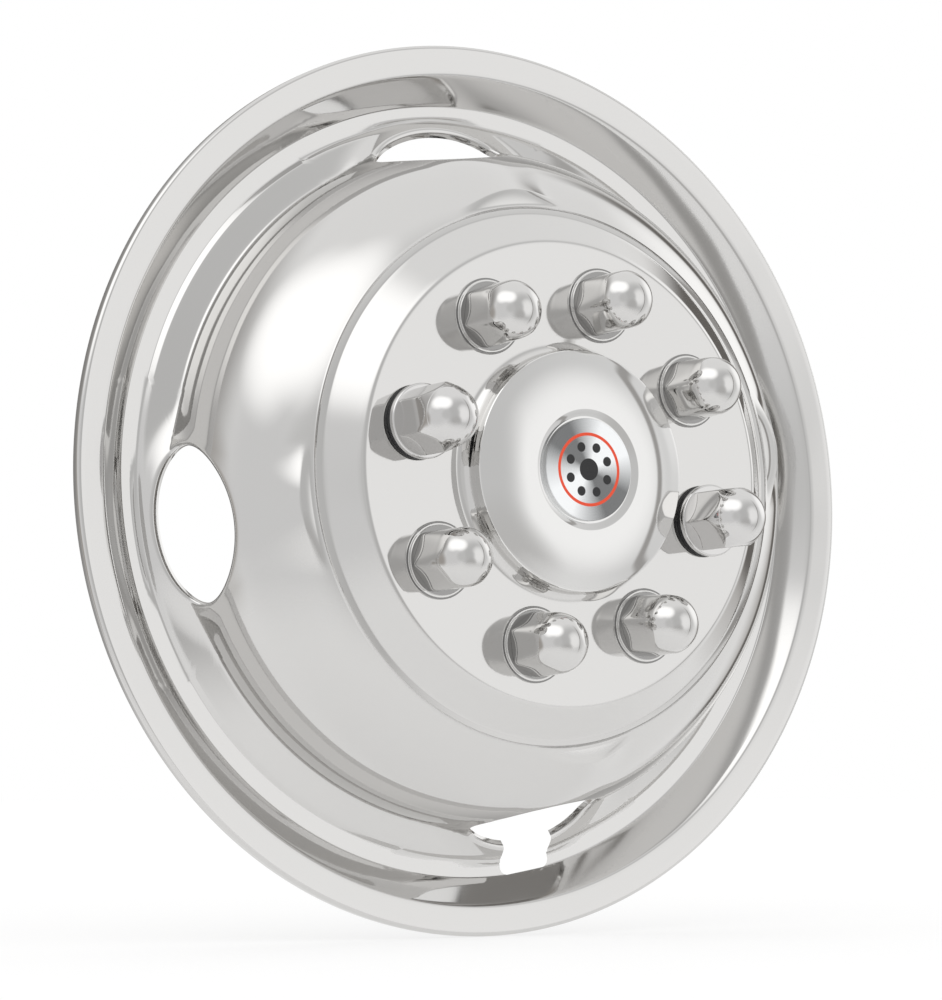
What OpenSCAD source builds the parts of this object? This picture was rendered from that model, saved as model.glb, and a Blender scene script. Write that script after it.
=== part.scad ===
// Front wheel simulator for a dual-rear-wheel truck: a pressed stainless liner with four
// hand holes, six fixed lug covers, two captive lock nuts and a snapped-on hub cover.
// Built facing -Y and upright, with +Z up. The origin is on the wheel's axis, in the
// plane where the studs enter the two lock nuts.

/* [Liner] */
// Outer diameter over the rim lip
rim_d = 433.6; // [380:0.2:520]
// Sheet thickness of the liner
sheet_t = 0.8; // [0.6:0.05:1.2]
// Width of the flat rim lip, measured on the radius
lip_w = 13.4; // [9:0.2:18]
// Fall of the lip from its outer edge to its inner edge
lip_fall = 2.6; // [0:0.2:5]
// Depth of the folded edge behind the lip
edge_fold = 5; // [3:0.5:8]
// Width of the sloping wall inside the lip
wall_w = 13.8; // [9:0.2:18]
// Depth of the well below the outer edge
well_depth = 15.2; // [10:0.2:22]
// Width of the well's flat floor
ledge_w = 8.8; // [5:0.2:12]
// Rise of the small step on the well's inner side
step_rise = 1.8; // [1:0.1:2.6]
// Rise of the band between that step and the dome's foot
band_rise = 4.5; // [2:0.1:8]
// Radius of the dome's foot
dome_r = 164.6; // [150:0.2:185]
// Bending radius of the dome's profile
dome_bend = 70; // [50:0.5:74]
// Angle of the dome's top edge to the wheel plane
dome_top_angle = 27; // [20:0.5:32]

/* [Lug face] */
// Height of the flat lug face in front of the rim's outer edge
face_h = 69; // [62:0.5:76]
// Radius of the flat lug face
face_r = 109.2; // [106:0.2:114]
// Radius of the ring line where the raised lug face starts
ring_r = 123.8; // [119:0.2:128]
// Height of that ring line below the lug face
ring_fall = 11.4; // [9:0.2:14]
// Diameter of the circle through the lugs
stud_pcd = 165.1; // [150:0.1:175]
// Number of lugs, the two lock nuts included
lug_count = 8; // [8:1:8]
// Angle of the first lock nut, anticlockwise from +X seen from the front
first_lug = 167; // [150:0.5:180]

/* [Hand holes] */
// Number of hand holes, each midway between two lugs
hand_count = 4; // [4:1:4]
// Width of a hand hole around the wheel
hand_w = 71; // [56:0.5:76]
// Height of a hand hole along the dome's slope
hand_h = 42; // [32:0.5:46]
// Share by which a hand hole is wider towards the rim than in its middle
hand_egg = 0.2; // [0:0.02:0.25]
// Angle of the hole's plane to the wheel plane
hand_tilt = 55; // [50:0.5:60]
// Radius at the centre of a hand hole
hand_r = 164.6; // [158:0.2:168]
// Height of that centre in front of the rim's outer edge
hand_centre_h = 8.8; // [4:0.2:12]
// Depth of the turned-in edge around a hand hole
hand_fold = 4.5; // [3:0.5:6]
// Reach of the raised pad around a hand hole, beyond the dome's foot
pad_reach = 14.6; // [12:0.2:15.4]
// Radius of the pad's cone at its foot
pad_foot_r = 69; // [62:0.5:76]
// Angle of the pad to the wheel plane
pad_angle = 58; // [55:0.5:62]

/* [Valve slot] */
// Width of the slot for the valve stem, cut from the bottom hand hole to the wall
slot_w = 28; // [16:0.5:30]
// Corner radius at the slot's end
slot_corner = 4; // [2:0.5:6]

/* [Hub] */
// Radius of the upstanding neck, to the middle of its sheet
neck_r = 55; // [45:0.2:60]
// Height of the neck above the lug face
neck_h = 11; // [6:0.2:14]
// Width of the lip turned inwards at the neck's mouth
neck_lip = 4; // [3:0.5:6]
// Length of the hub cover's skirt over the neck
skirt_l = 3.8; // [3:0.2:7]
// Height of the hub cover's crown above its edge
crown_h = 5.6; // [3:0.2:9]
// Radius of the badge
badge_r = 23.8; // [18:0.2:30]
// Thickness of the badge
badge_t = 1.5; // [0.8:0.1:2.5]
// Bevel of the badge's edge
badge_edge = 0.4; // [0.2:0.1:0.8]
// Depth of the seat the badge is stuck in
seat_depth = 1.3; // [0.6:0.1:2.4]

/* [Lug covers] */
// Flange radius of a lug cover
cover_flange_r = 17.8; // [16.4:0.1:19]
// Radius of the body at its foot
cover_foot_r = 15.7; // [15:0.1:15.9]
// Radius of the domed end
cover_dome_r = 14.2; // [13.8:0.1:14.8]
// Height of the dome's centre above the lug face
cover_centre_h = 19.1; // [14:0.1:26]
// Width across the pressed flats
cover_flats = 27.4; // [26.6:0.1:28]
// Sheet thickness of a cover
cover_t = 0.7; // [0.5:0.05:1]
// Height of each of the fine rings around a cover's foot
cover_rib_h = 0.65; // [0.4:0.05:1]
// Width of each of these rings
cover_rib_w = 0.85; // [0.5:0.05:1.1]
// Length of the skirt that passes through the liner, from the face to its end
cover_skirt = 6.5; // [5:0.5:9]
// Turn of each cover's flats, anticlockwise seen from the front
cover_turn = [40, 7.5, 22, 30, 46, 52.5];
// Outer radius of the retaining ring behind a cover
ring_out_r = 18.6; // [17.5:0.1:20]
// Thickness of that ring
ring_t = 0.8; // [0.6:0.1:1.2]
// Number of gripping teeth inside that ring
ring_teeth = 8; // [6:1:10]
// Width of the slots between those teeth
ring_slot_w = 3; // [2:0.2:4]
// Depth of the slots between those teeth
ring_slot_l = 2.6; // [1.6:0.2:3.2]

/* [Lock nuts] */
// Radius of the nut's flange and of its seal
nut_flange_r = 17.1; // [16.6:0.1:19]
// Thickness of the flange
nut_flange_t = 2.2; // [1.6:0.1:3]
// Thickness of the black seal under the flange
seal_t = 3; // [2:0.1:4]
// Width across the nut's flats
nut_flats = 27.8; // [26:0.1:28.6]
// Radius of the nut's domed end
nut_dome_r = 14.5; // [14.2:0.1:15]
// Height of the dome's centre above the lug face
nut_centre_h = 23.1; // [18:0.1:30]
// Turn of each nut's flats, anticlockwise seen from the front
nut_turn = [0, 37];
// Radius of the nut's neck through the liner
nut_neck_r = 11.8; // [10.5:0.1:12.5]
// Reach of the neck behind the lug face
nut_neck_l = 7; // [6:0.5:10]
// Radius of the threaded hole for the wheel's 9/16 inch stud
thread_r = 6.6; // [6:0.1:7.2]
// Depth of the threaded hole from the nut's mouth
thread_l = 32; // [20:0.5:34]
// Thickness of the snap ring that keeps the nut in the liner
clip_t = 1.2; // [1:0.1:1.6]
// Outer radius of the snap ring
clip_out_r = 15.4; // [14.5:0.1:16.5]
// Depth of the snap ring's groove in the neck
clip_groove = 1.2; // [0.8:0.1:1.6]
// Gap between the ends of the snap ring
clip_gap = 5; // [3:0.5:8]

/* [Clearances] */
// Clearance around each skirt and neck in its hole in the liner
hole_clearance = 0.5; // [0.3:0.1:1]
// End play of a lock nut in the liner
nut_play = 0.3; // [0.1:0.05:0.5]

/* [Hidden] */
$fn = 128;
// largest distance between a bend and its steps
bend_error = 0.05;
// reach of a hand hole's cutter to both sides of its plane
hand_reach = 20;
// points around a hand hole
hand_points = 32;
half_t = sheet_t / 2;
lug_step = 360 / lug_count;
hand_step = 360 / hand_count;
hand_first = first_lug + lug_step / 2;
origin_h = face_h - nut_neck_l;
// the liner's profile along the middle of its sheet
edge_r = rim_d / 2 - half_t;
lip_r = edge_r - lip_w;
wall_r = lip_r - wall_w;
ledge_r = wall_r - ledge_w;
step_r = ledge_r - step_rise * 1.2;
well_h = -well_depth;
step_h = well_h + step_rise;
foot_h = step_h + band_rise;
face_mid_h = face_h - half_t;
ring_h = face_mid_h - ring_fall;
dome_corner_h = ring_h - (dome_r - ring_r) * tan(dome_top_angle);
neck_top_h = face_h + neck_h;
// the dome's bend, as the centre of its circle
dome_cr = dome_r - dome_bend;
dome_ch = dome_corner_h - dome_bend * tan((90 - dome_top_angle) / 2);
// the pads around the hand holes
pad_r = dome_r + pad_reach;
pad_low_h = well_h - 2;
pad_top_h = foot_h + 38;
// the hub cover's profile along the middle of its sheet
skirt_r = neck_r + sheet_t;
crown_edge_h = neck_top_h + sheet_t;
crown_top_h = crown_edge_h + crown_h;
seat_r = badge_r + 0.6;
seat_h = crown_top_h - seat_depth;
shoulder_r = seat_r + 4;
crown_mid_r = (skirt_r + shoulder_r) / 2;
// holes in the lug face
cover_skirt_r = cover_flats / 2 - 0.6;
cover_hole_r = cover_skirt_r + hole_clearance;
nut_hole_r = nut_neck_r + hole_clearance;
// the lock nut above the lug face
seal_h = nut_play / 2;
collar_h = seal_h + seal_t;
nut_foot_h = collar_h + nut_flange_t;
nut_corner_r = nut_flats / 2 / cos(30);
clip_h = -sheet_t - nut_play / 2 - clip_t;
// the lug positions of the two nuts and of the six covers
nut_lugs = [0, lug_count / 2];
cover_lugs = [1, 2, 3, 5, 6, 7];

// the direction to the left of v
function left_of(v) = [-v[1], v[0]] / norm(v);

// from the wheel's own axis, front upwards, to the part's frame
module wheel_frame() {
  rotate([90, 0, 0])
    translate([0, 0, -origin_h])
      children();
}

// at lug number i of the circle, on the lug face
module at_lug(i) {
  wheel_frame()
    rotate([0, 0, first_lug + i * lug_step])
      translate([stud_pcd / 2, 0, face_h])
        rotate([0, 0, -first_lug - i * lug_step])
          children();
}

// points of the corner at b of a path from a to c, bent at radius r, moved left by d
function corner_points(a, b, c, r, d) =
  let (
    u = (b - a) / norm(b - a),
    v = (c - b) / norm(c - b),
    turn = acos(u * v),
    side = u[0] * v[1] - u[1] * v[0] > 0 ? 1 : -1,
    centre = b - u * r * tan(turn / 2) + side * r * left_of(u),
    start = atan2(-side * left_of(u)[1], -side * left_of(u)[0]),
    steps = ceil(turn / acos(1 - bend_error / r) / 2)
  )
  [for (k = [0:steps])
    let (at = start + side * turn * k / steps)
    centre + (r - side * d) * [cos(at), sin(at)]];

// one side of a sheet path of [radius, height, bend radius], moved left by d
function path_side(p, d) =
  let (
    last = len(p) - 1,
    points = [for (q = p) [q[0], q[1]]]
  )
  concat(
    [points[0] + d * left_of(points[1] - points[0])],
    [for (i = [1:last - 1])
      each corner_points(points[i - 1], points[i], points[i + 1], p[i][2], d)],
    [points[last] + d * left_of(points[last] - points[last - 1])]
  );

function reversed(list) = [for (i = [len(list) - 1:-1:0]) list[i]];

// cross-section of sheet of thickness t along a path
module sheet_path(p, t) {
  polygon(concat(path_side(p, t / 2), reversed(path_side(p, -t / 2))));
}

// the egg-shaped outline of a hand hole, larger all round by grow
module hand_outline(grow) {
  polygon([for (k = [0:hand_points - 1])
    let (at = (k + 0.5) * 360 / hand_points)
    [(hand_w / 2 + grow) * cos(at) * (1 - hand_egg * sin(at)), (hand_h / 2 + grow) * sin(at)]]);
}

// at hand hole number i, with the hole's outline in the XY plane
module at_hand(i) {
  rotate([0, 0, hand_first + i * hand_step])
    translate([hand_r, 0, hand_centre_h])
      rotate([0, hand_tilt, 0])
        rotate([0, 0, 90])
          children();
}

// turned around the wheel's axis, with the seam midway between two hand holes
module turned_sheet() {
  rotate([0, 0, hand_first + hand_step / 2])
    rotate_extrude()
      children();
}

// everything inside the dome's bend, shrunk by in
module dome_core(in) {
  turned_sheet()
    translate([dome_cr, dome_ch])
      circle(dome_bend + half_t - in);
}

// everything inside the raised pad of a hand hole, shrunk by in
module pad_core(i, in) {
  slope = 1 / tan(pad_angle);
  shrink = in / sin(pad_angle);
  r_low = pad_foot_r + (step_h - pad_low_h) * slope - shrink;
  r_top = pad_foot_r - (pad_top_h - step_h) * slope - shrink;
  rotate([0, 0, hand_first + i * hand_step])
    translate([pad_r - pad_foot_r, 0, pad_low_h])
      rotate([0, 0, 180])
        cylinder(h = pad_top_h - pad_low_h, r1 = r_low, r2 = r_top);
}

// everything behind the middle of the well's sheet
module behind_well() {
  turned_sheet()
    polygon([
      [dome_r - 30, foot_h + band_rise], [dome_r, foot_h], [step_r, step_h],
      [ledge_r, well_h], [wall_r, well_h], [wall_r, well_h - 20], [dome_r - 30, well_h - 20]
    ]);
}

// the turned-in edge of a hand hole
module hand_rim(i) {
  intersection() {
    at_hand(i)
      translate([0, 0, -hand_reach])
        linear_extrude(height = 2 * hand_reach)
          difference() {
            hand_outline(sheet_t);
            hand_outline(0);
          }
    union() {
      dome_core(half_t);
      pad_core(i, half_t);
    }
    difference() {
      rotate([0, 0, hand_first + i * hand_step])
        translate([hand_r - 40, -hand_w, well_h])
          cube([60, 2 * hand_w, 70]);
      dome_core(hand_fold);
      pad_core(i, hand_fold);
    }
  }
}

// the slot for the valve stem, from the bottom hand hole to the well's wall
module valve_slot() {
  inner = hand_r - 5;
  length = wall_r - inner;
  rotate([0, 0, hand_first + hand_step])
    translate([inner, 0, well_h - 5])
      linear_extrude(height = 5 - well_h + hand_centre_h - 8) {
        translate([0, -slot_w / 2])
          square([length - slot_corner, slot_w]);
        translate([0, slot_corner - slot_w / 2])
          square([length, slot_w - 2 * slot_corner]);
        for (s = [-1, 1])
          translate([length - slot_corner, s * (slot_w / 2 - slot_corner)])
            circle(slot_corner);
      }
}

module liner_sheet() {
  turned_sheet()
    sheet_path([
      [edge_r, -edge_fold, 0],
      [edge_r, -half_t, 1.6],
      [lip_r, -lip_fall - half_t, 2.4],
      [wall_r, well_h, 2.4],
      [ledge_r, well_h, 1.2],
      [step_r, step_h, 1.2],
      [dome_r, foot_h, 2.6],
      [dome_r, dome_corner_h, dome_bend],
      [ring_r, ring_h, 6],
      [face_r, face_mid_h, 4],
      [neck_r, face_mid_h, 2.4],
      [neck_r, neck_top_h, 1.4],
      [neck_r - neck_lip, neck_top_h, 0]
    ], sheet_t);
}

module wheel_liner() {
  color([0.83, 0.84, 0.85])
    wheel_frame() {
      difference() {
        union() {
          difference() {
            liner_sheet();
            for (i = [0:hand_count - 1])
              pad_core(i, sheet_t);
          }
          for (i = [0:hand_count - 1])
            difference() {
              pad_core(i, 0);
              pad_core(i, sheet_t);
              dome_core(half_t);
              behind_well();
            }
        }
        for (i = [0:hand_count - 1])
          at_hand(i)
            translate([0, 0, -hand_reach])
              linear_extrude(height = 2 * hand_reach)
                hand_outline(sheet_t / 2);
        valve_slot();
        for (i = [0:lug_count - 1])
          rotate([0, 0, first_lug + i * lug_step])
            translate([stud_pcd / 2, 0, face_h - 10])
              cylinder(h = 20, r = i % 4 == 0 ? nut_hole_r : cover_hole_r);
      }
      for (i = [0:hand_count - 1])
        difference() {
          hand_rim(i);
          valve_slot();
        }
    }
}

// the crowned cap pressed over the liner's neck
module hub_cover() {
  color([0.86, 0.87, 0.88])
    wheel_frame()
      rotate_extrude()
        sheet_path([
          [skirt_r, crown_edge_h - skirt_l, 0],
          [skirt_r, crown_edge_h, 0.7],
          [crown_mid_r, crown_edge_h + crown_h * 0.76, 100],
          [shoulder_r, crown_top_h, 3],
          [seat_r + 1.4, crown_top_h, 0.8],
          [seat_r, seat_h, 0.6],
          [0, seat_h, 0]
        ], sheet_t);
}

module badge() {
  color([0.72, 0.78, 0.82])
    wheel_frame()
      translate([0, 0, seat_h + half_t]) {
        cylinder(h = badge_t - badge_edge, r = badge_r);
        translate([0, 0, badge_t - badge_edge])
          cylinder(h = badge_edge, r1 = badge_r, r2 = badge_r - badge_edge);
      }
}

// outside of a lug cover's body, shrunk by in
module cover_body(turn, in) {
  intersection() {
    rotate([0, 0, turn - 30])
      cylinder(h = cover_centre_h + cover_dome_r, r = (cover_flats / 2 - in) / cos(30), $fn = 6);
    union() {
      cylinder(h = cover_centre_h, r1 = cover_foot_r - in, r2 = cover_dome_r - in);
      translate([0, 0, cover_centre_h])
        sphere(cover_dome_r - in);
    }
  }
}

module lug_cover(i) {
  color([0.8, 0.81, 0.82])
    at_lug(cover_lugs[i])
      difference() {
        union() {
          cover_body(cover_turn[i], 0);
          for (k = [0:2])
            cylinder(h = (k + 1) * cover_rib_h, r = cover_flange_r - k * cover_rib_w);
          translate([0, 0, -cover_skirt])
            cylinder(h = cover_skirt + cover_rib_h, r = cover_skirt_r);
        }
        cover_body(cover_turn[i], cover_t);
        translate([0, 0, -cover_skirt - 1])
          cylinder(h = cover_skirt + 2, r = cover_skirt_r - cover_t);
      }
}

// the toothed ring pushed on a lug cover's skirt, against the back of the liner
module cover_ring(i) {
  color([0.55, 0.56, 0.57])
    at_lug(cover_lugs[i])
      translate([0, 0, -sheet_t - ring_t])
        difference() {
          cylinder(h = ring_t, r = ring_out_r);
          translate([0, 0, -1])
            cylinder(h = ring_t + 2, r = cover_skirt_r);
          for (k = [0:ring_teeth - 1])
            rotate([0, 0, (k + 0.5) * 360 / ring_teeth])
              translate([cover_skirt_r - 1, -ring_slot_w / 2, -1])
                cube([1 + ring_slot_l, ring_slot_w, ring_t + 2]);
        }
}

module lock_nut(i) {
  color([0.84, 0.85, 0.86])
    at_lug(nut_lugs[i])
      difference() {
        union() {
          translate([0, 0, collar_h])
            nut_collar();
          intersection() {
            translate([0, 0, nut_foot_h - 0.5])
              rotate([0, 0, nut_turn[i] - 30])
                cylinder(h = nut_centre_h + nut_dome_r, r = nut_corner_r, $fn = 6);
            nut_top();
          }
          translate([0, 0, -nut_neck_l])
            cylinder(h = nut_neck_l + nut_foot_h, r = nut_neck_r);
        }
        translate([0, 0, clip_h])
          difference() {
            cylinder(h = clip_t, r = nut_neck_r + 1);
            translate([0, 0, -1])
              cylinder(h = clip_t + 2, r = nut_neck_r - clip_groove);
          }
        translate([0, 0, -nut_neck_l - 1])
          cylinder(h = thread_l + 1, r = thread_r);
        translate([0, 0, thread_l - nut_neck_l])
          cylinder(h = thread_r / tan(59), r1 = thread_r, r2 = 0);
      }
}

// the nut's flange, rounded all round its edge
module nut_collar() {
  rotate_extrude() {
    square([nut_flange_r - nut_flange_t / 2, nut_flange_t]);
    translate([nut_flange_r - nut_flange_t / 2, nut_flange_t / 2])
      circle(nut_flange_t / 2);
  }
}

// the nut's bevel and dome
module nut_top() {
  bevel_h = 5.3;
  bevel_r = sqrt(nut_dome_r * nut_dome_r - bevel_h * bevel_h);
  rotate_extrude()
    polygon([
      [0, collar_h], [nut_corner_r + 0.05, collar_h], [nut_corner_r + 0.05, nut_centre_h - 1],
      [bevel_r, nut_centre_h + bevel_h], [0, nut_centre_h + bevel_h]
    ]);
  translate([0, 0, nut_centre_h])
    sphere(nut_dome_r);
}

module nut_seal(i) {
  color([0.06, 0.06, 0.06])
    at_lug(nut_lugs[i])
      translate([0, 0, seal_h])
        difference() {
          cylinder(h = seal_t, r = nut_flange_r);
          translate([0, 0, -1])
            cylinder(h = seal_t + 2, r = nut_neck_r);
        }
}

// the open snap ring in the groove of a lock nut's neck
module nut_clip(i) {
  color([0.5, 0.51, 0.52])
    at_lug(nut_lugs[i])
      translate([0, 0, clip_h])
        difference() {
          cylinder(h = clip_t, r = clip_out_r);
          translate([0, 0, -1])
            cylinder(h = clip_t + 2, r = nut_neck_r - clip_groove);
          translate([0, -clip_gap / 2, -1])
            cube([clip_out_r + 1, clip_gap, clip_t + 2]);
        }
}

wheel_liner();
hub_cover();
badge();
lug_cover(0);  // lug_cover_1
lug_cover(1);  // lug_cover_2
lug_cover(2);  // lug_cover_3
lug_cover(3);  // lug_cover_4
lug_cover(4);  // lug_cover_5
lug_cover(5);  // lug_cover_6
cover_ring(0);  // cover_ring_1
cover_ring(1);  // cover_ring_2
cover_ring(2);  // cover_ring_3
cover_ring(3);  // cover_ring_4
cover_ring(4);  // cover_ring_5
cover_ring(5);  // cover_ring_6
lock_nut(0);  // lock_nut_1
lock_nut(1);  // lock_nut_2
nut_seal(0);  // nut_seal_1
nut_seal(1);  // nut_seal_2
nut_clip(0);  // nut_clip_1
nut_clip(1);  // nut_clip_2
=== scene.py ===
"""Polished wheel simulator of a dual-rear-wheel truck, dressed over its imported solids.

Everything is in metres. The wheel's axis is Y and its face looks to -Y. Profiles are drawn
as (r, h): radius from the axis, and height in front of the plane of the rim's outer edge.
"""

import math

import bmesh
import bpy
import numpy as np
from mathutils import Matrix, Vector


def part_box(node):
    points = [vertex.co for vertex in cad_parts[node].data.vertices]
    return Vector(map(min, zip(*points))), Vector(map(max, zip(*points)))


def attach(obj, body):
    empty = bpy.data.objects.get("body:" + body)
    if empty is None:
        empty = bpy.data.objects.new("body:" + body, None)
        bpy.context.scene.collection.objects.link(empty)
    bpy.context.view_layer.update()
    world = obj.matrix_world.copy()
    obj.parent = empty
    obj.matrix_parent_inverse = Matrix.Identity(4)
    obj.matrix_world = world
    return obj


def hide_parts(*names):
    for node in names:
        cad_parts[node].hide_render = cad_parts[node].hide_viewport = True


bl_info = {
    "name": "Truck wheel simulator",
    "version": (1, 0, 0),
    "blender": (4, 5, 0),
    "location": "3D View > Sidebar > Wheel",
    "description": "Builds a mirror-polished wheel simulator with lug covers, lock nuts and a hub cover",
    "category": "Add Mesh",
}

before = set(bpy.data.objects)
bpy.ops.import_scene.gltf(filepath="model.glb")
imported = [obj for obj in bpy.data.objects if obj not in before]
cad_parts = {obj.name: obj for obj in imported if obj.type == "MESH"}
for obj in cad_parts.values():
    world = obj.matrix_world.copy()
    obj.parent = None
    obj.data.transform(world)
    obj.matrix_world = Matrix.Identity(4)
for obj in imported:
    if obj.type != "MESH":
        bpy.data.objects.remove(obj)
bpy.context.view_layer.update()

MM = 0.001
LINER_LOW, LINER_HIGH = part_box("wheel_liner")
RIM_R = (LINER_HIGH[0] - LINER_LOW[0]) / 2
WELL_BACK = 15.6 * MM  # the back of the well's floor, behind the plane of the rim's outer edge
RIM_EDGE_Y = LINER_HIGH[1] - WELL_BACK
SHEET = 0.8 * MM

# the liner's profile, where no size of the panel sets it
EDGE_FOLD = 5 * MM
LIP_DROP = 2.6 * MM
WELL_FLOOR_W = 8.8 * MM
WELL_STEP_W, WELL_STEP_H = 2.16 * MM, 1.8 * MM
DOME_FOOT_H = 4.5 * MM  # over the step in the well
DOME_SLOPE = math.radians(27)
FACE_H = 69 * MM
FACE_RISE = 11.4 * MM
NECK_R, NECK_H = 55 * MM, 78 * MM

# the liner's grid, and the part of it that a patch with a hand hole replaces
LINER_COLUMNS = 360
PATCH_OUTER_R, PATCH_INNER_R = 183.2 * MM, 130 * MM
PATCH_HALF_SPAN = 23  # columns to either side of the hand hole
PATCH_ROWS = 26
HAND_ANGLES = (189.5, 279.5, 9.5, 99.5)
SLOT_HAND = 1  # the hand hole that opens into the valve slot

# lugs are counted anticlockwise from the left lock nut, and a turn is that of their flats, in degrees
STUD_R = 165.1 * MM / 2
FIRST_LUG, LUG_STEP = 167.0, 45.0
COVER_LUGS = (1, 2, 3, 5, 6, 7)
COVER_TURNS = (40, 7.5, 22, 30, 46, 52.5)
NUT_LUGS = (0, 4)
NUT_TURNS = (0, 37)
FLATTED_COLUMNS, FLATTED_WALL_ROWS, FLATTED_DOME_ROWS = 288, 10, 96

BADGE_SEAT = 1.3 * MM  # below the top of the hub cover's crown
BADGE_FACE = 0.2 * MM  # above that top

# the badge's printed emblem
INK = (0.012, 0.012, 0.013, 1)
BAND_RED = (0.80, 0.07, 0.02, 1)
BAND_R, BAND_HALF_W, BAND_SOLID = 16.4 * MM, 0.8 * MM, 0.66 * MM
DOTS, DOT_RING_R, DOT_R = 8, 11 * MM, 2.3 * MM
MIDDLE_R = 5.2 * MM
PRINT_EDGE = 0.12 * MM

# outputs of Texture Coordinate and of Light Path
GENERATED, OBJECT = 0, 3
CAMERA_RAY, GLOSSY_RAY = 0, 3

# The metal sees the white studio with soft fields where a room has its darker and brighter sides:
# azimuth (0 to the front, 90 to the right), elevation, inner and outer angle of the soft edge, colour
STUDIO_BASE = (1.0, 1.0, 1.0)
STUDIO_FIELDS = [
    (18, 0, 30, 68, (0.68, 0.68, 0.68)),
    (34, 5, 8, 34, (1.13, 1.13, 1.13)),
    (-66, -6, 18, 50, (0.84, 0.84, 0.845)),
    (-4, 4, 2, 26, (0.66, 0.66, 0.66)),
    (6, -22, 2, 24, (0.60, 0.595, 0.59)),
    (-32, 0, 2, 22, (0.72, 0.72, 0.72)),
    (-142, 22, 10, 50, (0.40, 0.39, 0.38)),
    (-114, -8, 3, 28, (0.46, 0.435, 0.41)),
    (168, -4, 18, 50, (0.14, 0.135, 0.13)),
    (132, 10, 8, 42, (0.44, 0.42, 0.40)),
    (-66, 43, 1, 30, (1.6, 1.6, 1.6)),
    (-36, 43, 1, 28, (1.6, 1.6, 1.6)),
    (94, 20, 2, 28, (1.35, 1.35, 1.35)),
]
# azimuth and half width of dark upright strips, where the studio's white walls end, and their colour
STUDIO_STRIPS = [
    (118, 6, (0.16, 0.15, 0.14)),
    (58, 3, (0.40, 0.39, 0.38)),
]
STRIP_SOLID = 0.3  # the part of a strip's half width that has its full colour
STRIP_REACH = (0.6, 0.9)  # cosines of the angle from its middle at which it starts and is whole

FLOOR_TONE, FLOOR_WORN = 0.34, 0.97
FLOOR_OWN_LIGHT = 0.7
FLOOR_REACH, FLOOR_DROP = 12, 0.2 * MM
FLOOR_FADE = (0.15, 0.6)  # from its middle, where the metal stops seeing it

CAMERA_AZ, CAMERA_EL = -32.32, -5.68
CAMERA_REACH = 1.4
CAMERA_SIDE, CAMERA_UP = -7.84 * MM, -6.8 * MM
CAMERA_CLIP = (0.05, 20)
LENS_PX, PHOTO_H, SENSOR_MM = 2880.4, 1000, 36


class WheelLinerSizes(bpy.types.PropertyGroup):
    lip_w: bpy.props.FloatProperty(
        name="Lip width", description="Width of the flat rim lip",
        default=13.4 * MM, unit="LENGTH")
    wall_w: bpy.props.FloatProperty(
        name="Wall width", description="Width of the sloping wall inside the lip",
        default=13.8 * MM, unit="LENGTH")
    well_depth: bpy.props.FloatProperty(
        name="Well depth", description="Depth of the well below the outer edge",
        default=15.2 * MM, unit="LENGTH")
    dome_r: bpy.props.FloatProperty(
        name="Dome radius", description="Radius of the dome's foot",
        default=164.6 * MM, unit="LENGTH")
    dome_bend: bpy.props.FloatProperty(
        name="Dome bend", description="Bending radius of the dome's profile",
        default=70 * MM, unit="LENGTH")
    ring_r: bpy.props.FloatProperty(
        name="Ring radius", description="Radius where the raised lug face starts",
        default=123.8 * MM, unit="LENGTH")
    face_r: bpy.props.FloatProperty(
        name="Face radius", description="Radius of the flat lug face",
        default=109.2 * MM, unit="LENGTH")
    hand_w: bpy.props.FloatProperty(
        name="Hand hole width", description="Width of a hand hole around the wheel",
        default=71 * MM, unit="LENGTH")
    hand_h: bpy.props.FloatProperty(
        name="Hand hole height", description="Height of a hand hole along the slope",
        default=42 * MM, unit="LENGTH")
    hand_fold: bpy.props.FloatProperty(
        name="Turned edge", description="Depth of a hand hole's turned-in edge",
        default=4.5 * MM, unit="LENGTH")
    hand_soft: bpy.props.FloatProperty(
        name="Edge softness", description="Bending radius of that turned-in edge",
        default=2.2 * MM, unit="LENGTH")
    pad_soft: bpy.props.FloatProperty(
        name="Pad softness", description="Width over which a raised pad runs out",
        default=7 * MM, unit="LENGTH")
    slot_w: bpy.props.FloatProperty(
        name="Slot width", description="Width of the valve slot",
        default=28 * MM, unit="LENGTH")


class HubSizes(bpy.types.PropertyGroup):
    edge_r: bpy.props.FloatProperty(
        name="Crown radius", description="Radius of the hub cover's sharp edge",
        default=56.2 * MM, unit="LENGTH")
    edge_h: bpy.props.FloatProperty(
        name="Crown edge height", description="Height of that edge over the rim plane",
        default=81.2 * MM, unit="LENGTH")
    crown_h: bpy.props.FloatProperty(
        name="Crown height", description="Rise of the crown over its edge",
        default=5.6 * MM, unit="LENGTH")
    badge_r: bpy.props.FloatProperty(
        name="Badge radius", description="Radius of the round badge",
        default=23.8 * MM, unit="LENGTH")


class NutSizes(bpy.types.PropertyGroup):
    cover_flats: bpy.props.FloatProperty(
        name="Cover flats", description="Width across a lug cover's flats",
        default=27.4 * MM, unit="LENGTH")
    nut_flats: bpy.props.FloatProperty(
        name="Nut flats", description="Width across a lock nut's flats",
        default=27.8 * MM, unit="LENGTH")


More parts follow.
